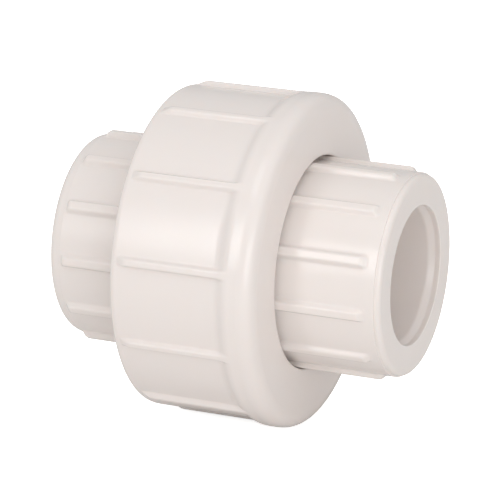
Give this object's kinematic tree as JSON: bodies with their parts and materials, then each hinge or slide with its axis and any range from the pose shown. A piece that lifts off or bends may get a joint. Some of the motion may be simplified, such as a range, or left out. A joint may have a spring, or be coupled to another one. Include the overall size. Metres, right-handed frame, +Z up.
{
  "type": "pipe union",
  "caption": "Round plastic pipe union: a ribbed nut draws together a threaded socket end and a shouldered socket end, which seal on an O-ring.",
  "frame": {"origin": "middle of the union, on the flow axis: the centre of its box with the nut tight", "axes": "+X along the flow axis, from the threaded end towards the shoulder end; +Z up as the union lies"},
  "size_m": [0.0564, 0.0536, 0.0536],
  "materials": {
    "pvc": "moulded white PVC, softly glossy",
    "seal": "smooth black rubber"
  },
  "bodies": {
    "threaded_body": {"threaded_end": "pvc", "o_ring": "seal"},
    "tail": {"tail_end": "pvc"},
    "nut": {"union_nut": "pvc"}
  },
  "joints": [
    {"name": "tail_slide", "type": "slide", "parent": "threaded_body", "child": "tail", "axis": [1, 0, 0], "range_m": [0, 0.0127]},
    {"name": "nut_turn", "type": "hinge", "parent": "tail", "child": "nut", "pos_m": [0, 0, 0], "axis": [1, 0, 0], "range_deg": [0, 1440]}
  ],
  "couplings": [
    {"joint": "tail_slide", "follows": "nut_turn", "m_per_rad": 0.00050532}
  ]
}
